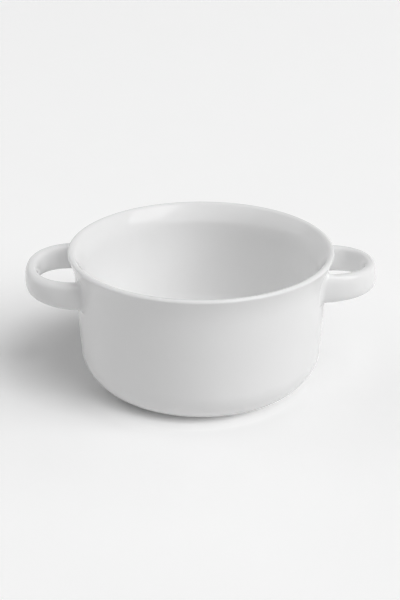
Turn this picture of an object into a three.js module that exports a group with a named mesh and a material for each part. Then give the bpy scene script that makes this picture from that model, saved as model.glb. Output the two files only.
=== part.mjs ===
// A soup bowl in white glazed porcelain, with two strap handles stuck on with slip.
// Millimetres, +Z up. The origin is the middle of the foot's resting face.
// The handles point along +X and -X.
import * as THREE from 'three';

const { degToRad } = THREE.MathUtils;

// Body: the lip, the wall, the lower corner and the foot ring.
const rimRadius = 65; // to the outermost edge of the lip
const bowlHeight = 70.5;
const lipEdge = 1.2; // radius of the lip's outer edge
const lipShoulder = 2.3; // radius of its softer inner edge
const lipOverhang = 2.2; // from the line of the wall, carried up to the rim, to the edge of the lip
const lipFlare = degToRad(21.5); // how far the outside leans out below the lip
const flareDepth = 6.9; // from the rim down to where the lines of the flare and the wall cross inside
const outerBend = 0.8; // share of the flare that its bend into the wall takes up, outside
const innerBend = 0.9; // and inside
const wallTaper = degToRad(3.15);
const wallThickness = 4.2;
const outerCorner = 19.4; // radius from the wall to the base
const innerCorner = 17; // radius from the wall to the floor
const floorThickness = 3.6;
const footHeight = 0.9;
const footInset = 2.5; // from the end of the lower corner in to the foot ring
const footWidth = 4.5;
const footRound = 0.4;
const recessDepth = 2.2; // of the hollow inside the foot ring

// Handles: a flat strap bent to a loop, thickest in height at its two roots.
const strapHeight = 11.9;
const strapThickness = 5.9;
const strapSquareness = 2.8; // exponent of the section, 2 for an ellipse
const rootGrowth = 2.2; // what the height gains from the tip to the roots
const rootSpacing = 44.6; // between the middles of the two roots
const loopDepth = 23.5; // from the straight legs out to the middle of the tip
const loopSquareness = 2.25; // exponent of the loop seen from above
const legLength = 0.7; // straight part between the slip and the loop
const handleDrop = 14.7; // from the rim down to the middle of the strap at the roots
const handleTilt = degToRad(3); // tip up
const handleTwist = degToRad(3.4); // clockwise, seen from outside, as it was stuck on

// Slip: a bed between each root and the wall, wiped round to a fillet.
const slipBed = 1.2; // from the wall to the end of the strap
const slipFillet = 2.2;
const slipEdge = 0.2; // thickness of the fillet where it runs out on the strap
const clearance = 0.3; // between pieces that touch

// Facets.
const turnSegments = 72;
const cornerSteps = 10;
const bendSteps = 5;
const edgeSteps = 2;
const lipSteps = 5;
const sectionPoints = 20;
const loopSteps = 34;
const loopEnd = degToRad(85); // first and last ring of the loop, short of a right angle
const filletSteps = 4;

// Lines that the body's pieces share.
const edgeCentre = new THREE.Vector2(rimRadius - lipEdge, bowlHeight - lipEdge);
const shoulderCentre = new THREE.Vector2(edgeCentre.x, bowlHeight - lipShoulder);
const floorTop = recessDepth + floorThickness;

function wallLine(height) {
  return rimRadius - lipOverhang - (bowlHeight - height) * Math.tan(wallTaper);
}

function innerWallLine(height) {
  return wallLine(height) - wallThickness / Math.cos(wallTaper);
}

function onCircle(centre, radius, angle) {
  return new THREE.Vector2(Math.cos(angle), Math.sin(angle)).multiplyScalar(radius).add(centre);
}

function arc(centre, radius, from, to, steps) {
  const points = [];
  for (let i = 0; i <= steps; i++) {
    points.push(onCircle(centre, radius, from + ((to - from) * i) / steps));
  }
  return points;
}

// Rounds the corner between two straight lines, from the side of before to the side of after.
function roundedCorner(before, corner, after, radius, steps) {
  const back = before.clone().sub(corner).normalize();
  const ahead = after.clone().sub(corner).normalize();
  const half = back.angleTo(ahead) / 2;
  const reach = radius / Math.tan(half);
  const centre = back.clone().add(ahead).setLength(radius / Math.sin(half)).add(corner);
  const start = corner.clone().addScaledVector(back, reach).sub(centre).angle();
  const end = corner.clone().addScaledVector(ahead, reach).sub(centre).angle();
  const sweep = THREE.MathUtils.euclideanModulo(end - start + Math.PI, 2 * Math.PI) - Math.PI;
  return arc(centre, radius, start, start + sweep, steps);
}

// Rounds a corner with an arc that takes up a share of the shorter line that meets in it.
function longBend(before, corner, after, share, steps) {
  const back = before.clone().sub(corner);
  const ahead = after.clone().sub(corner);
  const reach = share * Math.min(back.length(), ahead.length());
  return roundedCorner(before, corner, after, reach * Math.tan(back.angleTo(ahead) / 2), steps);
}

// The outside of the body, from the base plane up to the lip.
function outerProfile() {
  const base = new THREE.Vector2(wallLine(footHeight), footHeight);
  const lip = onCircle(edgeCentre, lipEdge, -lipFlare);
  const lean = Math.tan(lipFlare);
  const fall = (lip.x - wallLine(lip.y)) / (lean - Math.tan(wallTaper));
  const knee = new THREE.Vector2(lip.x - lean * fall, lip.y - fall);
  const middle = new THREE.Vector2(0, footHeight);
  return [
    ...roundedCorner(middle, base, knee, outerCorner, cornerSteps),
    ...longBend(base, knee, lip, outerBend, bendSteps),
  ];
}

// The lip and the inside of the body, from the lip's outer edge down to the middle of the floor.
function innerProfile() {
  const knee = new THREE.Vector2(innerWallLine(bowlHeight - flareDepth), bowlHeight - flareDepth);
  const toLip = shoulderCentre.clone().sub(knee);
  const lean = toLip.angle() + Math.asin(lipShoulder / toLip.length());
  const crest = Math.PI / 2;
  const lip = onCircle(shoulderCentre, lipShoulder, crest + lean);
  const base = new THREE.Vector2(innerWallLine(floorTop), floorTop);
  const middle = new THREE.Vector2(0, floorTop);
  return [
    ...arc(edgeCentre, lipEdge, -lipFlare, crest, lipSteps),
    ...arc(shoulderCentre, lipShoulder, crest, crest + lean, lipSteps).slice(1),
    ...longBend(lip, knee, base, innerBend, bendSteps),
    ...roundedCorner(knee, base, middle, innerCorner, cornerSteps),
    middle,
  ];
}

// The underside, from the middle of the recess out round the foot ring.
function footProfile(footRadius) {
  const middle = new THREE.Vector2(0, recessDepth);
  const recess = new THREE.Vector2(footRadius - footWidth, recessDepth);
  const innerEdge = new THREE.Vector2(footRadius - footWidth, 0);
  const outerEdge = new THREE.Vector2(footRadius, 0);
  const root = new THREE.Vector2(footRadius, footHeight);
  return [
    middle,
    ...roundedCorner(middle, recess, innerEdge, footRound, edgeSteps),
    ...roundedCorner(recess, innerEdge, outerEdge, footRound, edgeSteps),
    ...roundedCorner(innerEdge, outerEdge, root, footRound, edgeSteps),
    root,
  ];
}

const outside = outerProfile();

function bodyGeometry() {
  const footRadius = outside[0].x - footInset;
  const profile = [...footProfile(footRadius), ...outside, ...innerProfile()];
  return new THREE.LatheGeometry(profile, turnSegments).rotateX(Math.PI / 2);
}

// Where the outside of the wall lies at a place seen from its front: its X at the given Y and Z.
const wallPoints = [...outside, ...innerProfile().slice(0, lipSteps)];

function wallSurface(y, z) {
  const above = wallPoints.findIndex((point) => point.y > z);
  const high = wallPoints[above];
  const low = wallPoints[above - 1];
  const radius = THREE.MathUtils.mapLinear(z, low.y, high.y, low.x, high.x);
  return Math.sqrt(radius ** 2 - y ** 2);
}

function signedPower(value, power) {
  return Math.sign(value) * Math.abs(value) ** power;
}

// A point of the strap's section: across its thickness and up its height, grown all round.
function sectionPoint(index, height, growth) {
  const angle = (2 * Math.PI * index) / sectionPoints;
  const power = 2 / strapSquareness;
  const across = signedPower(Math.cos(angle), power) * (strapThickness / 2 + growth);
  const up = signedPower(Math.sin(angle), power) * (height / 2 + growth);
  return { across, up };
}

// The loop's middle line, seen from above: it starts where the straight legs end.
const rootOffset = rootSpacing / 2;
const rootHeight = bowlHeight - handleDrop;
const loopStart = wallSurface(rootOffset, rootHeight) + slipBed + legLength;

function loopPoint(angle) {
  const power = 2 / loopSquareness;
  const out = loopStart + loopDepth * Math.cos(angle) ** power;
  return new THREE.Vector2(out, rootOffset * signedPower(Math.sin(angle), power));
}

// Seats the handle on the wall: tilted about its legs, twisted and lifted to its height.
const seat = new THREE.Matrix4()
  .makeTranslation(0, 0, rootHeight)
  .multiply(new THREE.Matrix4().makeRotationX(-handleTwist))
  .multiply(new THREE.Matrix4().makeTranslation(loopStart, 0, 0))
  .multiply(new THREE.Matrix4().makeRotationY(-handleTilt))
  .multiply(new THREE.Matrix4().makeTranslation(-loopStart, 0, 0));

// A ring round the strap on its loop, square to the middle line.
function loopRing(angle) {
  const halfStep = loopEnd / loopSteps;
  const middle = loopPoint(angle);
  const along = loopPoint(angle + halfStep).sub(loopPoint(angle - halfStep)).normalize();
  const height = strapHeight + rootGrowth * (1 - (middle.x - loopStart) / loopDepth);
  const ring = [];
  for (let i = 0; i < sectionPoints; i++) {
    const { across, up } = sectionPoint(i, height, 0);
    const point = new THREE.Vector3(middle.x + along.y * across, middle.y - along.x * across, up);
    ring.push(point.applyMatrix4(seat));
  }
  return ring;
}

// Slides a point out or in along X until it lies at a distance from the wall.
function onWall(point, distance) {
  return point.setX(wallSurface(point.y, point.z) + distance);
}

// A ring round a root that follows the curve of the wall at a distance from it.
// The side is -1 for the front root and 1 for the rear one.
function rootRing(side, distance, growth) {
  const ring = [];
  for (let i = 0; i < sectionPoints; i++) {
    const { across, up } = sectionPoint(i, strapHeight + rootGrowth, growth);
    const point = new THREE.Vector3(loopStart, side * (rootOffset + across), up);
    ring.push(onWall(point.applyMatrix4(seat), distance));
  }
  return ring;
}

function rootMiddle(side, distance) {
  const point = new THREE.Vector3(loopStart, side * rootOffset, 0);
  return onWall(point.applyMatrix4(seat), distance);
}

// A closed skin over rings of equal counts, with a fan of faces at each end.
function loft(startMiddle, rings, endMiddle) {
  const points = [startMiddle, ...rings.flat(), endMiddle];
  const count = rings[0].length;
  const last = points.length - 1;
  const faces = [];
  for (let i = 0; i < count; i++) {
    const next = (i + 1) % count;
    faces.push(0, 1 + i, 1 + next);
    for (let ring = 0; ring < rings.length - 1; ring++) {
      const here = 1 + ring * count;
      const there = here + count;
      faces.push(here + i, there + i, here + next);
      faces.push(here + next, there + i, there + next);
    }
    faces.push(last, last - count + next, last - count + i);
  }
  const geometry = new THREE.BufferGeometry().setFromPoints(points);
  geometry.setIndex(faces);
  geometry.computeVertexNormals();
  return geometry;
}

function handleGeometry() {
  const rings = [rootRing(-1, slipBed, 0)];
  for (let step = 0; step <= loopSteps; step++) {
    rings.push(loopRing(-loopEnd + (2 * loopEnd * step) / loopSteps));
  }
  rings.push(rootRing(1, slipBed, 0));
  return loft(rootMiddle(-1, slipBed), rings, rootMiddle(1, slipBed));
}

// A slip joint: the bed on the wall, the hollow fillet out round the strap and the root's pocket.
// Rings face along the strap from its front root to its rear one, so the rear joint starts at the pocket.
function slipGeometry(side) {
  const rings = [];
  const first = Math.acos(1 - clearance / slipFillet);
  for (let step = 0; step <= filletSteps; step++) {
    const angle = first + ((Math.PI / 2 - first) * step) / filletSteps;
    const growth = clearance + slipEdge + slipFillet * (1 - Math.sin(angle));
    rings.push(rootRing(side, slipFillet * (1 - Math.cos(angle)), growth));
  }
  rings.push(rootRing(side, slipFillet, clearance));
  rings.push(rootRing(side, slipBed - clearance, clearance));
  const bed = rootMiddle(side, clearance);
  const pocket = rootMiddle(side, slipBed - clearance);
  return side < 0 ? loft(bed, rings, pocket) : loft(pocket, rings.reverse(), bed);
}

function glazedPiece(name, geometry) {
  const glaze = new THREE.MeshStandardMaterial({ color: 0xf1f1ef, roughness: 0.1, metalness: 0 });
  const piece = new THREE.Mesh(geometry, glaze);
  piece.name = name;
  return piece;
}

// A handle and its two slip joints. The left one is the right one turned half round.
function handleGroup(name, turn) {
  const group = new THREE.Group();
  const [first, second] = turn === 0 ? ['front', 'rear'] : ['rear', 'front'];
  group.add(glazedPiece(`handle_${name}`, handleGeometry()));
  group.add(glazedPiece(`slip_joint_${name}_${first}`, slipGeometry(-1)));
  group.add(glazedPiece(`slip_joint_${name}_${second}`, slipGeometry(1)));
  group.rotation.z = turn;
  return group;
}

const bowl = new THREE.Group();
bowl.add(glazedPiece('bowl_body', bodyGeometry()));
bowl.add(handleGroup('right', 0));
bowl.add(handleGroup('left', Math.PI));

export default bowl;
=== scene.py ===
import math

import bpy
from mathutils import Matrix, Vector


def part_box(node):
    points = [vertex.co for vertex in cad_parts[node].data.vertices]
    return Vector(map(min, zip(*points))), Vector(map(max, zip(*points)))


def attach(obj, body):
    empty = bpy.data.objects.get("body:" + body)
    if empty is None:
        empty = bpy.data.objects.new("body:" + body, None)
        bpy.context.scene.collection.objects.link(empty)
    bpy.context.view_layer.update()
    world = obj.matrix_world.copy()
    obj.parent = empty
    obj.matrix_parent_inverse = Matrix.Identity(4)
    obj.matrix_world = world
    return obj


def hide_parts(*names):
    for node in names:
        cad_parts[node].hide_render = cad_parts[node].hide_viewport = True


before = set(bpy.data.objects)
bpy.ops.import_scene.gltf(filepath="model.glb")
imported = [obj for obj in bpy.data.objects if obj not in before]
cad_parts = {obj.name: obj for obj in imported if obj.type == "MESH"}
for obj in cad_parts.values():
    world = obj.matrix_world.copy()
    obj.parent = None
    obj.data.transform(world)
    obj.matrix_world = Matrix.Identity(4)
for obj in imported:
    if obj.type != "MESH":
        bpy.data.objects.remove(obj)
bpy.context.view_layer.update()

MM = 0.001

# The body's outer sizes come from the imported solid, and the rest repeats the part's own sizes.
BODY_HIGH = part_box("bowl_body")[1]
RIM_RADIUS = BODY_HIGH.y
BOWL_HEIGHT = BODY_HIGH.z
LIP_EDGE = 1.2 * MM
LIP_SHOULDER = 2.3 * MM
LIP_OVERHANG = 2.2 * MM
LIP_FLARE = math.radians(21.5)
FLARE_DEPTH = 6.9 * MM
OUTER_BEND = 0.8  # share of the shorter line beside it that a bend takes up
INNER_BEND = 0.9
WALL_TAPER = math.radians(3.15)
WALL_THICKNESS = 4.2 * MM
OUTER_CORNER = 19.4 * MM
INNER_CORNER = 17 * MM
FLOOR_THICKNESS = 3.6 * MM
FOOT_HEIGHT = 0.9 * MM
FOOT_INSET = 2.5 * MM
FOOT_WIDTH = 4.5 * MM
FOOT_ROUND = 0.4 * MM
RECESS_DEPTH = 2.2 * MM

# Handles.
STRAP_HEIGHT = 11.9 * MM
STRAP_THICKNESS = 5.9 * MM
STRAP_SQUARENESS = 2.8
ROOT_GROWTH = 2.2 * MM
ROOT_SPACING = 44.6 * MM
LOOP_DEPTH = 23.5 * MM
LOOP_SQUARENESS = 2.25
LEG_LENGTH = 0.7 * MM
HANDLE_DROP = 14.7 * MM
HANDLE_TILT = math.radians(3)
HANDLE_TWIST = math.radians(3.4)

# Slip joints.
SLIP_BED = 1.2 * MM
SLIP_FILLET = 2.2 * MM
SLIP_TUCK = 0.6 * MM  # how deep a slip joint reaches into the wall and the strap, out of sight
SLIP_START = math.radians(5)  # where its hollow curve leaves the wall and meets the strap

# Facets.
TURN_SEGMENTS = 256
CORNER_STEPS = 36
KNEE_STEPS = 16
EDGE_STEPS = 8
LIP_STEPS = 32
WALL_STEPS = 12
SECTION_POINTS = 72
LOOP_STEPS = 120
LOOP_END = math.radians(85)  # where the loop ends and its legs go on to the wall
LEG_STEPS = 6
FILLET_STEPS = 14
SHARP_EDGE = math.radians(40)

# Octaves of detail in a noise.
SMOOTH = 1
ROUGH = 2
FINE = 3

# Sockets of a node that mixes colours.
MIX_FIRST = 6
MIX_SECOND = 7
MIX_RESULT = 2

# Glaze and clay.
BODY_WHITE = 0.878
SLIP_WHITE = 0.874
TONE_SWING = 0.006
TONE_CLOUD = 30 * MM
GLOSS_CLOUD = 14 * MM
CLOUD_RANGE = (0.3, 0.7)  # where nearly all of a noise's values lie
GLAZE_ROUGHNESS = (0.03, 0.07)
GLAZE_IOR = 1.5
GLAZE_WAVE = 24 * MM
GLAZE_WAVE_DEPTH = 0.04 * MM
GLAZE_PEEL = 1.5 * MM
GLAZE_PEEL_DEPTH = 0.001 * MM
CLAY_COLOUR = (0.76, 0.745, 0.72, 1)
CLAY_ROUGHNESS = 0.75  # what bare clay adds to the glaze's own
CLAY_GRAIN = 0.5 * MM
CLAY_GRAIN_DEPTH = 0.03 * MM
WIPE_HEIGHT = (0.1 * MM, 0.35 * MM)  # of the glaze's edge above the resting face
WIPE_WANDER = 6 * MM
WIPE_BLUR = 0.08 * MM
RING_PITCH = 2.4 * MM
RING_DEPTH = 0.012 * MM

# Floor. A lift eases in or out over its reach or width, a range of distances that may begin below 0.
FLOOR_HALF = 4
PAPER_WHITE = (0.795, 0.805)
PAPER_ROUGHNESS = (0.85, 0.95)
PAPER_FIBRE = 0.8 * MM
PAPER_FIBRE_DEPTH = 0.02 * MM
PAPER_CLOUD = 40 * MM
PAPER_LIFT = 0.22  # what lifts it to one white, away from the bowl and its shadow
LIFT_CENTRE = (-24.3 * MM, 14.1 * MM, 0)
LIFT_REACH = (-31 * MM, 167 * MM)
SHADOW_CENTRE = (-33.7 * MM, 25.8 * MM, 0)
SHADOW_REACH = (41.5 * MM, 106 * MM)
CREASE_PAINTED_LIGHT = 0.44  # painted light that fills the contact shadow under the bowl's lit side
CREASE_CENTRE = (-6.5 * MM, 3.2 * MM, 0)
CREASE_RADIUS = 54 * MM
CREASE_WIDTH = (-7 * MM, 11 * MM)
CREASE_AZIMUTH = math.radians(-54)
CREASE_REACH = (-25 * MM, 57 * MM)
SIDE_PAINTED_LIGHT = 0.083  # painted light that fills the faint shadow to the right of the bowl
SIDE_CENTRE = (59.8 * MM, 17.6 * MM, 0)
SIDE_REACH = (0, 54.4 * MM)

# Camera, fitted to the outlines of the bowl in the photograph.
CAMERA_DISTANCE = 0.650
CAMERA_ELEVATION = math.radians(24.35)
CAMERA_TURN = math.radians(1.5)
CAMERA_NEAREST = 0.01
AIM_HEIGHT = 41.54 * MM
AIM_RIGHT = -0.45 * MM
AIM_UP = 0.25 * MM
FOCAL_PIXELS = 1305.6
IMAGE_PIXELS = 600  # the image's long side
SENSOR = 36.0

# Light. A bearing is an azimuth from +X and an elevation.
LIGHT_COLOUR = (1, 1, 1, 1)
KEY_BEARING = (math.radians(-36), math.radians(48))
KEY_LEAN = math.radians(28)
KEY_SPREAD = (math.radians(40), math.radians(60))
KEY_DISTANCE = 10
KEY_RADIANCE = 3.57
LOBE_POWER = 6
WORLD_LOBES = (
    (0, math.radians(12), 0.54),
    (math.radians(60), math.radians(12), 0.45),
    (math.radians(150), math.radians(12), 1.53),
    (math.radians(180), math.radians(45), 0.6),
    (math.radians(-30), math.radians(12), 0.1),
)
ROOM_WHITE = (0.55, 1.8)  # as mirrored, from its dim side to its bright one
ROOM_BEARING = (math.radians(-125), math.radians(10))
ROOM_SHADE = (0.1, 0.4)  # cosine of the angle to the bright side, where dim ends and bright starts
SHINE_BEARING = (math.radians(-41), math.radians(38))
SHINE_HALF_SIZE = (0.32, 0.485)  # at a distance of 1
SHINE_SKEW = 0.31  # sideways for each step up
SHINE_NEAREST = 0.001  # keeps directions behind it out
SHINE_EDGE = (1, 1.03)
SHINE_RADIANCE = 2.3

EDGE_CENTRE = Vector((RIM_RADIUS - LIP_EDGE, BOWL_HEIGHT - LIP_EDGE))
SHOULDER_CENTRE = Vector((EDGE_CENTRE.x, BOWL_HEIGHT - LIP_SHOULDER))
FLOOR_TOP = RECESS_DEPTH + FLOOR_THICKNESS


def wall_line(height):
    return RIM_RADIUS - LIP_OVERHANG - (BOWL_HEIGHT - height) * math.tan(WALL_TAPER)


def inner_wall_line(height):
    return wall_line(height) - WALL_THICKNESS / math.cos(WALL_TAPER)


def on_circle(centre, radius, angle):
    return centre + radius * Vector((math.cos(angle), math.sin(angle)))


def arc(centre, radius, start, end, steps):
    angles = [start + (end - start) * i / steps for i in range(steps + 1)]
    return [on_circle(centre, radius, angle) for angle in angles]


def line(start, end, steps):
    """The points between two others on a straight line, without its ends."""
    return [start.lerp(end, i / steps) for i in range(1, steps)]


def rounded_corner(before, corner, after, radius, steps):
    """Rounds the corner between two straight lines, from the side of before to the side of after."""
    back = (before - corner).normalized()
    ahead = (after - corner).normalized()
    half = back.angle(ahead) / 2
    reach = radius / math.tan(half)
    centre = corner + (back + ahead).normalized() * (radius / math.sin(half))
    first = corner + back * reach - centre
    last = corner + ahead * reach - centre
    start = math.atan2(first.y, first.x)
    sweep = math.remainder(math.atan2(last.y, last.x) - start, 2 * math.pi)
    return arc(centre, radius, start, start + sweep, steps)


def long_bend(before, corner, after, share, steps):
    """Rounds a corner with the arc that takes a share of the line before it or after it."""
    half = (before - corner).angle(after - corner) / 2
    reach = share * min((before - corner).length, (after - corner).length)
    return rounded_corner(before, corner, after, reach * math.tan(half), steps)


def outer_profile():
    """The outside of the body, from the base plane up to the lip."""
    base = Vector((wall_line(FOOT_HEIGHT), FOOT_HEIGHT))
    lip = on_circle(EDGE_CENTRE, LIP_EDGE, -LIP_FLARE)
    lean = math.tan(LIP_FLARE)
    fall = (lip.x - wall_line(lip.y)) / (lean - math.tan(WALL_TAPER))
    knee = Vector((lip.x - lean * fall, lip.y - fall))
    middle = Vector((0, FOOT_HEIGHT))
    corner = rounded_corner(middle, base, knee, OUTER_CORNER, CORNER_STEPS)
    bend = long_bend(base, knee, lip, OUTER_BEND, KNEE_STEPS)
    return corner + line(corner[-1], bend[0], WALL_STEPS) + bend + line(bend[-1], lip, KNEE_STEPS)


def inner_profile():
    """The lip and the inside of the body, from the lip's outer edge down to the middle of the floor."""
    knee = Vector((inner_wall_line(BOWL_HEIGHT - FLARE_DEPTH), BOWL_HEIGHT - FLARE_DEPTH))
    to_lip = SHOULDER_CENTRE - knee
    lean = math.atan2(to_lip.y, to_lip.x) + math.asin(LIP_SHOULDER / to_lip.length)
    edge = arc(EDGE_CENTRE, LIP_EDGE, -LIP_FLARE, math.pi / 2, LIP_STEPS)
    shoulder = arc(SHOULDER_CENTRE, LIP_SHOULDER, math.pi / 2, math.pi / 2 + lean, LIP_STEPS)
    lip = edge + shoulder[1:]
    base = Vector((inner_wall_line(FLOOR_TOP), FLOOR_TOP))
    middle = Vector((0, FLOOR_TOP))
    bend = long_bend(lip[-1], knee, base, INNER_BEND, KNEE_STEPS)
    corner = rounded_corner(knee, base, middle, INNER_CORNER, CORNER_STEPS)
    flare = line(lip[-1], bend[0], KNEE_STEPS)
    wall = line(bend[-1], corner[0], WALL_STEPS)
    return lip + flare + bend + wall + corner + line(corner[-1], middle, WALL_STEPS) + [middle]


def foot_profile(foot_radius):
    """The underside, from the middle of the recess out round the foot ring."""
    middle = Vector((0, RECESS_DEPTH))
    recess = Vector((foot_radius - FOOT_WIDTH, RECESS_DEPTH))
    inner_edge = Vector((foot_radius - FOOT_WIDTH, 0))
    outer_edge = Vector((foot_radius, 0))
    root = Vector((foot_radius, FOOT_HEIGHT))
    hollow = rounded_corner(middle, recess, inner_edge, FOOT_ROUND, EDGE_STEPS)
    inner = rounded_corner(recess, inner_edge, outer_edge, FOOT_ROUND, EDGE_STEPS)
    outer = rounded_corner(inner_edge, outer_edge, root, FOOT_ROUND, EDGE_STEPS)
    ceiling = line(middle, hollow[0], WALL_STEPS)
    return [middle] + ceiling + hollow + inner + line(inner[-1], outer[0], EDGE_STEPS) + outer


OUTSIDE = outer_profile()
FOOT_RADIUS = OUTSIDE[0].x - FOOT_INSET


def body_profile():
    foot = foot_profile(FOOT_RADIUS)
    root = rounded_corner(
        foot[-1],
        Vector((FOOT_RADIUS, FOOT_HEIGHT)),
        OUTSIDE[0],
        FOOT_ROUND,
        EDGE_STEPS,
    )
    return foot + root + OUTSIDE + inner_profile()[1:]


def finish_mesh(name, points, faces):
    mesh = bpy.data.meshes.new(name)
    mesh.from_pydata(points, [], faces)
    mesh.validate()
    mesh.shade_smooth()
    mesh.set_sharp_from_angle(angle=SHARP_EDGE)
    piece = bpy.data.objects.new(name, mesh)
    bpy.context.scene.collection.objects.link(piece)
    return piece


def turned_body(name):
    """The profile turned round the axis, with a single point at its two ends."""
    profile = body_profile()
    points = [(0, 0, profile[0].y)]
    for ring in profile[1:-1]:
        for i in range(TURN_SEGMENTS):
            angle = 2 * math.pi * i / TURN_SEGMENTS
            points.append((ring.x * math.cos(angle), ring.x * math.sin(angle), ring.y))
    points.append((0, 0, profile[-1].y))
    last = len(points) - 1
    rings = len(profile) - 2
    faces = []
    for i in range(TURN_SEGMENTS):
        after = (i + 1) % TURN_SEGMENTS
        faces.append((0, 1 + after, 1 + i))
        for ring in range(rings - 1):
            here = 1 + ring * TURN_SEGMENTS
            there = here + TURN_SEGMENTS
            faces.append((here + i, here + after, there + after, there + i))
        top = last - TURN_SEGMENTS
        faces.append((top + i, top + after, last))
    return finish_mesh(name, points, faces)


def wall_surface(y, z):
    """The X of the outside of the wall at a place seen from its front."""
    above = next(i for i, point in enumerate(OUTSIDE) if point.y > z)
    low, high = OUTSIDE[above - 1], OUTSIDE[above]
    radius = low.x + (high.x - low.x) * (z - low.y) / (high.y - low.y)
    return math.sqrt(radius**2 - y**2)


def signed_power(value, power):
    return math.copysign(abs(value) ** power, value)


def section_point(index, height, growth):
    """A point of the strap's section: across its thickness and up its height, grown all round."""
    angle = 2 * math.pi * index / SECTION_POINTS
    power = 2 / STRAP_SQUARENESS
    across = signed_power(math.cos(angle), power) * (STRAP_THICKNESS / 2 + growth)
    up = signed_power(math.sin(angle), power) * (height / 2 + growth)
    return across, up


ROOT_OFFSET = ROOT_SPACING / 2
ROOT_HEIGHT = BOWL_HEIGHT - HANDLE_DROP
LOOP_START = wall_surface(ROOT_OFFSET, ROOT_HEIGHT) + SLIP_BED + LEG_LENGTH

# Seats the handle on the wall: tilted about its legs, twisted and lifted to its height.
SEAT = (
    Matrix.Translation((0, 0, ROOT_HEIGHT))
    @ Matrix.Rotation(-HANDLE_TWIST, 4, "X")
    @ Matrix.Translation((LOOP_START, 0, 0))
    @ Matrix.Rotation(-HANDLE_TILT, 4, "Y")
    @ Matrix.Translation((-LOOP_START, 0, 0))
)


def loop_point(angle):
    """The loop's middle line, seen from above."""
    power = 2 / LOOP_SQUARENESS
    out = LOOP_START + LOOP_DEPTH * math.cos(angle) ** power
    return Vector((out, ROOT_OFFSET * signed_power(math.sin(angle), power)))


def loop_ring(angle):
    """A ring round the strap on its loop, square to the middle line."""
    half_step = LOOP_END / LOOP_STEPS
    middle = loop_point(angle)
    heading = (loop_point(angle + half_step) - loop_point(angle - half_step)).normalized()
    height = STRAP_HEIGHT + ROOT_GROWTH * (1 - (middle.x - LOOP_START) / LOOP_DEPTH)
    ring = []
    for i in range(SECTION_POINTS):
        across, up = section_point(i, height, 0)
        place = Vector((middle.x + heading.y * across, middle.y - heading.x * across, up))
        ring.append(SEAT @ place)
    return ring


def root_ring(side, distance, growth):
    """A ring round a root that follows the wall at a distance. Side is -1 in front and 1 behind."""
    ring = []
    for i in range(SECTION_POINTS):
        across, up = section_point(i, STRAP_HEIGHT + ROOT_GROWTH, growth)
        place = SEAT @ Vector((LOOP_START, side * (ROOT_OFFSET + across), up))
        place.x = wall_surface(place.y, place.z) + distance
        ring.append(place)
    return ring


def skin(rings, closed):
    """Points and faces over rings of equal counts, joined end to end or capped with flat ends."""
    count = len(rings[0])
    points = [point for ring in rings for point in ring]
    faces = []
    spans = len(rings) if closed else len(rings) - 1
    for ring in range(spans):
        here = ring * count
        there = (ring + 1) % len(rings) * count
        for i in range(count):
            after = (i + 1) % count
            faces.append((here + i, there + i, there + after, here + after))
    if not closed:
        faces.append(tuple(range(count)))
        faces.append(tuple(reversed(range(len(points) - count, len(points)))))
    return points, faces


def turned(points, turn):
    spin = Matrix.Rotation(turn, 3, "Z")
    return [spin @ point for point in points]


def strap_handle(name, turn):
    legs = [(SLIP_BED + SLIP_TUCK) * i / LEG_STEPS - SLIP_TUCK for i in range(LEG_STEPS + 1)]
    rings = [root_ring(-1, distance, 0) for distance in legs]
    rings += [loop_ring(LOOP_END * (2 * i / LOOP_STEPS - 1)) for i in range(LOOP_STEPS + 1)]
    rings += [root_ring(1, distance, 0) for distance in reversed(legs)]
    points, faces = skin(rings, False)
    return finish_mesh(name, turned(points, turn), faces)


def slip_joint(name, side, turn):
    """A hollow fillet from the wall to the strap, tucked into both so that no crack shows."""
    rings = [root_ring(side, -SLIP_TUCK, SLIP_FILLET)]
    for step in range(FILLET_STEPS + 1):
        angle = SLIP_START + (math.pi / 2 - 2 * SLIP_START) * step / FILLET_STEPS
        distance = SLIP_FILLET * (1 - math.cos(angle))
        growth = SLIP_FILLET * (1 - math.sin(angle))
        rings.append(root_ring(side, distance, growth))
    rings.append(root_ring(side, SLIP_FILLET, -SLIP_TUCK))
    rings.append(root_ring(side, -SLIP_TUCK, -SLIP_TUCK))
    if side > 0:
        rings.reverse()
    points, faces = skin(rings, True)
    return finish_mesh(name, turned(points, turn), faces)


def new_node(tree, kind, settings, inputs):
    """A node with its settings and inputs. An input is a plain value, or an output to link to it."""
    node = tree.nodes.new(kind)
    for name, value in settings.items():
        setattr(node, name, value)
    for name, value in inputs.items():
        if isinstance(value, bpy.types.NodeSocket):
            tree.links.new(value, node.inputs[name])
        else:
            node.inputs[name].default_value = value
    return node


def calculated(tree, operation, *values):
    """A number worked out from others."""
    node = new_node(tree, "ShaderNodeMath", {"operation": operation}, dict(enumerate(values)))
    return node.outputs[0]


def ranged(tree, value, source, target, easing="LINEAR"):
    """Maps a value from one range to another, and holds it there."""
    inputs = {
        "Value": value,
        "From Min": source[0],
        "From Max": source[1],
        "To Min": target[0],
        "To Max": target[1],
    }
    return new_node(tree, "ShaderNodeMapRange", {"interpolation_type": easing}, inputs).outputs[0]


def eased(tree, value, source, target):
    """The same with a soft start and a soft end."""
    return ranged(tree, value, source, target, "SMOOTHSTEP")


def noise(tree, place, size, detail):
    """Cloudy noise between 0 and 1 with features of about the given size."""
    inputs = {"Vector": place, "Scale": 1 / size, "Detail": detail}
    return new_node(tree, "ShaderNodeTexNoise", {}, inputs).outputs[0]


def bumped(tree, height, depth, under):
    """Relief of a depth on top of the relief that lies under it."""
    inputs = {"Height": height, "Distance": depth}
    if under is not None:
        inputs["Normal"] = under
    return new_node(tree, "ShaderNodeBump", {}, inputs).outputs[0]


def bearing(azimuth, elevation):
    """The direction with an azimuth from +X and an elevation."""
    flat = math.cos(elevation)
    return Vector((flat * math.cos(azimuth), flat * math.sin(azimuth), math.sin(elevation)))


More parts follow.
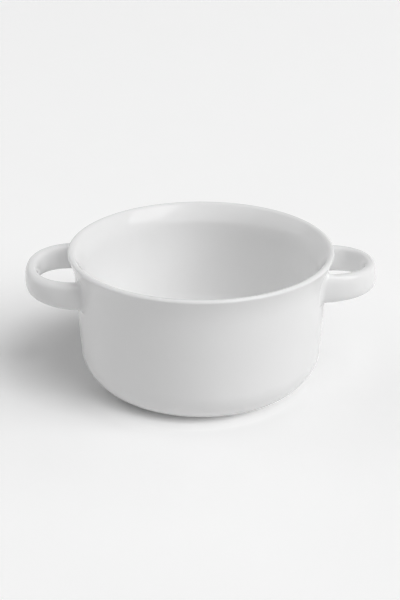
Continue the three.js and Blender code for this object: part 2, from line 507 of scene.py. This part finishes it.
def measured(tree, operation, *vectors):
    """A number worked out from vectors."""
    node = new_node(tree, "ShaderNodeVectorMath", {"operation": operation}, dict(enumerate(vectors)))
    return node.outputs["Value"]


def along(tree, place, direction):
    """How far a place lies along a direction."""
    return measured(tree, "DOT_PRODUCT", place, direction)


def distance_to(tree, place, centre):
    return measured(tree, "DISTANCE", place, centre)


def object_place(tree):
    return new_node(tree, "ShaderNodeTexCoord", {}, {}).outputs["Object"]


def coordinate(tree, place, axis):
    return new_node(tree, "ShaderNodeSeparateXYZ", {}, {"Vector": place}).outputs[axis]


def new_material(name):
    material = bpy.data.materials.new(name)
    material.use_nodes = True
    return material, material.node_tree, material.node_tree.nodes["Principled BSDF"]


def glaze_relief(tree, place):
    """Slow waves that make reflections swim a little, and the fine peel of fired glaze."""
    waves = bumped(tree, noise(tree, place, GLAZE_WAVE, SMOOTH), GLAZE_WAVE_DEPTH, None)
    return bumped(tree, noise(tree, place, GLAZE_PEEL, ROUGH), GLAZE_PEEL_DEPTH, waves)


def glaze(name, white):
    """Clear gloss glaze on white porcelain, with faint clouds in its tone and gloss."""
    material, tree, shader = new_material(name)
    place = object_place(tree)
    clouds = noise(tree, place, TONE_CLOUD, FINE)
    gloss = noise(tree, place, GLOSS_CLOUD, ROUGH)
    tone = ranged(tree, clouds, CLOUD_RANGE, (white - TONE_SWING, white + TONE_SWING))
    tree.links.new(tone, shader.inputs["Base Color"])
    tree.links.new(ranged(tree, gloss, CLOUD_RANGE, GLAZE_ROUGHNESS), shader.inputs["Roughness"])
    tree.links.new(glaze_relief(tree, place), shader.inputs["Normal"])
    shader.inputs["IOR"].default_value = GLAZE_IOR
    return material


def bare_foot(tree, place):
    """1 where the glaze was wiped off the foot, along a slightly uneven line, and 0 above it."""
    edge = ranged(tree, noise(tree, place, WIPE_WANDER, ROUGH), CLOUD_RANGE, WIPE_HEIGHT)
    above = calculated(tree, "SUBTRACT", coordinate(tree, place, "Z"), edge)
    return ranged(tree, above, (0, WIPE_BLUR), (1, 0))


def turning_rings(tree, place):
    """Low rings that the turning tool left under the base, as a height from -1 to 1."""
    inputs = {0: place, 1: (1, 1, 0)}
    flat = new_node(tree, "ShaderNodeVectorMath", {"operation": "MULTIPLY"}, inputs).outputs[0]
    radius = measured(tree, "LENGTH", flat)
    wave = calculated(tree, "SINE", calculated(tree, "MULTIPLY", radius, 2 * math.pi / RING_PITCH))
    top = (RECESS_DEPTH, RECESS_DEPTH + FOOT_ROUND)
    under = ranged(tree, coordinate(tree, place, "Z"), top, (1, 0))
    return calculated(tree, "MULTIPLY", wave, under)


def body_glaze(name):
    """The glaze, with turning rings under the base and bare fired clay where the foot rests."""
    material = glaze(name, BODY_WHITE)
    tree = material.node_tree
    shader = tree.nodes["Principled BSDF"]
    place = object_place(tree)
    bare = bare_foot(tree, place)
    tone = shader.inputs["Base Color"].links[0].from_socket
    gloss = shader.inputs["Roughness"].links[0].from_socket
    relief = shader.inputs["Normal"].links[0].from_socket
    inputs = {"Factor": bare, MIX_FIRST: tone, MIX_SECOND: CLAY_COLOUR}
    clay = new_node(tree, "ShaderNodeMix", {"data_type": "RGBA"}, inputs).outputs[MIX_RESULT]
    matt = calculated(tree, "MULTIPLY_ADD", bare, CLAY_ROUGHNESS, gloss)
    grain = calculated(tree, "MULTIPLY", noise(tree, place, CLAY_GRAIN, ROUGH), bare)
    rings = bumped(tree, turning_rings(tree, place), RING_DEPTH, relief)
    tree.links.new(clay, shader.inputs["Base Color"])
    tree.links.new(matt, shader.inputs["Roughness"])
    tree.links.new(bumped(tree, grain, CLAY_GRAIN_DEPTH, rings), shader.inputs["Normal"])
    return material


def dress(piece, material, node):
    piece.data.materials.append(material)
    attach(piece, "root")
    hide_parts(node)


BODY_GLAZE = body_glaze("body_glaze")
HANDLE_GLAZE = glaze("handle_glaze", BODY_WHITE)
SLIP_GLAZE = glaze("slip_glaze", SLIP_WHITE)

dress(turned_body("porcelain_body"), BODY_GLAZE, "bowl_body")

# Each handle's turn, and the names that its two roots have after it.
HANDLE_SIDES = (
    ("right", 0, ("front", "rear")),
    ("left", math.pi, ("rear", "front")),
)
for side_name, turn, ends in HANDLE_SIDES:
    strap = strap_handle("strap_handle_" + side_name, turn)
    dress(strap, HANDLE_GLAZE, "handle_" + side_name)
    for side, end in zip((-1, 1), ends):
        label = side_name + "_" + end
        joint = slip_joint("slip_fillet_" + label, side, turn)
        dress(joint, SLIP_GLAZE, "slip_joint_" + label)


def floor_glow_and_painted_light(tree, place):
    """Brings the floor to one white far off, paints light into the contact shadow on the lit side and
    onto the faint shadow to the right, and leaves the shadow to the left.
    """
    far_off = eased(tree, distance_to(tree, place, LIFT_CENTRE), LIFT_REACH, (0, PAPER_LIFT))
    unshaded = eased(tree, distance_to(tree, place, SHADOW_CENTRE), SHADOW_REACH, (0, PAPER_LIFT))
    out = calculated(tree, "SUBTRACT", distance_to(tree, place, CREASE_CENTRE), CREASE_RADIUS)
    # Painted light that fills the contact shadow in the crease under the bowl's lit side.
    crease_painted_light = eased(tree, calculated(tree, "ABSOLUTE", out), CREASE_WIDTH, (CREASE_PAINTED_LIGHT, 0))
    lit_side = eased(tree, along(tree, place, bearing(CREASE_AZIMUTH, 0)), CREASE_REACH, (0, 1))
    # Painted light that fills the faint shadow to the right of the bowl.
    painted_light_beside = eased(tree, distance_to(tree, place, SIDE_CENTRE), SIDE_REACH, (SIDE_PAINTED_LIGHT, 0))
    open_floor = calculated(tree, "ADD", calculated(tree, "MINIMUM", far_off, unshaded), painted_light_beside)
    return calculated(tree, "MULTIPLY_ADD", crease_painted_light, lit_side, open_floor)


def floor_material():
    """White paper, lifted for the camera and for what the glaze mirrors, with painted light in the
    contact shadow and on the faint shadow to the right.
    """
    material, tree, shader = new_material("floor_paper")
    place = object_place(tree)
    fibre = noise(tree, place, PAPER_FIBRE, FINE)
    cloud = noise(tree, place, PAPER_CLOUD, ROUGH)
    path = new_node(tree, "ShaderNodeLightPath", {}, {}).outputs
    seen = calculated(tree, "MAXIMUM", path["Is Camera Ray"], path["Is Glossy Ray"])
    tree.links.new(ranged(tree, cloud, CLOUD_RANGE, PAPER_WHITE), shader.inputs["Base Color"])
    tree.links.new(ranged(tree, fibre, CLOUD_RANGE, PAPER_ROUGHNESS), shader.inputs["Roughness"])
    tree.links.new(bumped(tree, fibre, PAPER_FIBRE_DEPTH, None), shader.inputs["Normal"])
    lift = calculated(tree, "MULTIPLY", floor_glow_and_painted_light(tree, place), seen)
    tree.links.new(lift, shader.inputs["Emission Strength"])
    shader.inputs["Emission Color"].default_value = LIGHT_COLOUR
    return material


def floor_plane():
    half = FLOOR_HALF
    points = [(-half, -half, 0), (half, -half, 0), (half, half, 0), (-half, half, 0)]
    floor = finish_mesh("studio_floor", points, [(0, 1, 2, 3)])
    floor.data.materials.append(floor_material())


floor_plane()


def aim(thing, place, target):
    thing.location = place
    thing.rotation_euler = (target - place).to_track_quat("-Z", "Y").to_euler()


def photo_camera():
    data = bpy.data.cameras.new("photo_camera")
    data.sensor_fit = "AUTO"
    data.sensor_width = SENSOR
    data.lens = FOCAL_PIXELS * SENSOR / IMAGE_PIXELS
    data.clip_start = CAMERA_NEAREST
    camera = bpy.data.objects.new("photo_camera", data)
    bpy.context.scene.collection.objects.link(camera)
    away = bearing(-math.pi / 2 - CAMERA_TURN, CAMERA_ELEVATION)
    right = Vector((math.cos(CAMERA_TURN), -math.sin(CAMERA_TURN), 0))
    up = right.cross(-away)
    target = Vector((0, 0, AIM_HEIGHT)) + AIM_RIGHT * right + AIM_UP * up
    aim(camera, target + CAMERA_DISTANCE * away, target)
    bpy.context.scene.camera = camera


photo_camera()


def key_light():
    """A tall softbox to the right, leaned over. The glaze mirrors the world's softbox instead."""
    data = bpy.data.lights.new("key", "AREA")
    data.shape = "RECTANGLE"
    data.size = 2 * KEY_DISTANCE * math.tan(KEY_SPREAD[0] / 2)
    data.size_y = 2 * KEY_DISTANCE * math.tan(KEY_SPREAD[1] / 2)
    data.energy = KEY_RADIANCE * math.pi * data.size * data.size_y
    lamp = bpy.data.objects.new("key", data)
    bpy.context.scene.collection.objects.link(lamp)
    aim(lamp, KEY_DISTANCE * bearing(*KEY_BEARING), Vector((0, 0, BOWL_HEIGHT / 2)))
    lamp.rotation_euler.rotate_axis("Z", KEY_LEAN)
    lamp.visible_glossy = False


def lobe(tree, place, azimuth, elevation, strength):
    """Soft light from one side of the room."""
    front = calculated(tree, "MAXIMUM", along(tree, place, bearing(azimuth, elevation)), 0)
    return calculated(tree, "MULTIPLY", calculated(tree, "POWER", front, LOBE_POWER), strength)


def mirrored_softbox(tree, place):
    """1 where a direction meets the softbox, a rectangle seen askew, and 0 beside it."""
    azimuth, elevation = SHINE_BEARING
    ahead = bearing(azimuth, elevation)
    right = bearing(azimuth + math.pi / 2, 0)
    up = ahead.cross(right)
    depth = calculated(tree, "MAXIMUM", along(tree, place, ahead), SHINE_NEAREST)
    across = calculated(tree, "DIVIDE", along(tree, place, right), depth)
    rise = calculated(tree, "DIVIDE", along(tree, place, up), depth)
    askew = calculated(tree, "MULTIPLY_ADD", rise, SHINE_SKEW, across)
    wide = calculated(tree, "DIVIDE", calculated(tree, "ABSOLUTE", askew), SHINE_HALF_SIZE[0])
    high = calculated(tree, "DIVIDE", calculated(tree, "ABSOLUTE", rise), SHINE_HALF_SIZE[1])
    return ranged(tree, calculated(tree, "MAXIMUM", wide, high), SHINE_EDGE, (1, 0))


def studio_world():
    """Light from the room's sides. The glaze mirrors a room with a softbox. The camera sees white."""
    world = bpy.data.worlds.new("studio")
    world.use_nodes = True
    tree = world.node_tree
    place = new_node(tree, "ShaderNodeTexCoord", {}, {}).outputs["Generated"]
    path = new_node(tree, "ShaderNodeLightPath", {}, {}).outputs
    lit = 0
    for azimuth, elevation, strength in WORLD_LOBES:
        lit = calculated(tree, "ADD", lit, lobe(tree, place, azimuth, elevation, strength))
    room = ranged(tree, along(tree, place, bearing(*ROOM_BEARING)), ROOM_SHADE, ROOM_WHITE)
    mirrored = calculated(tree, "MULTIPLY_ADD", mirrored_softbox(tree, place), SHINE_RADIANCE, room)
    strength = ranged(tree, path["Is Glossy Ray"], (0, 1), (lit, mirrored))
    strength = calculated(tree, "MAXIMUM", strength, path["Is Camera Ray"])
    tree.links.new(strength, tree.nodes["Background"].inputs["Strength"])
    tree.nodes["Background"].inputs["Color"].default_value = LIGHT_COLOUR
    bpy.context.scene.world = world


key_light()
studio_world()

bpy.context.scene.view_settings.view_transform = "Standard"
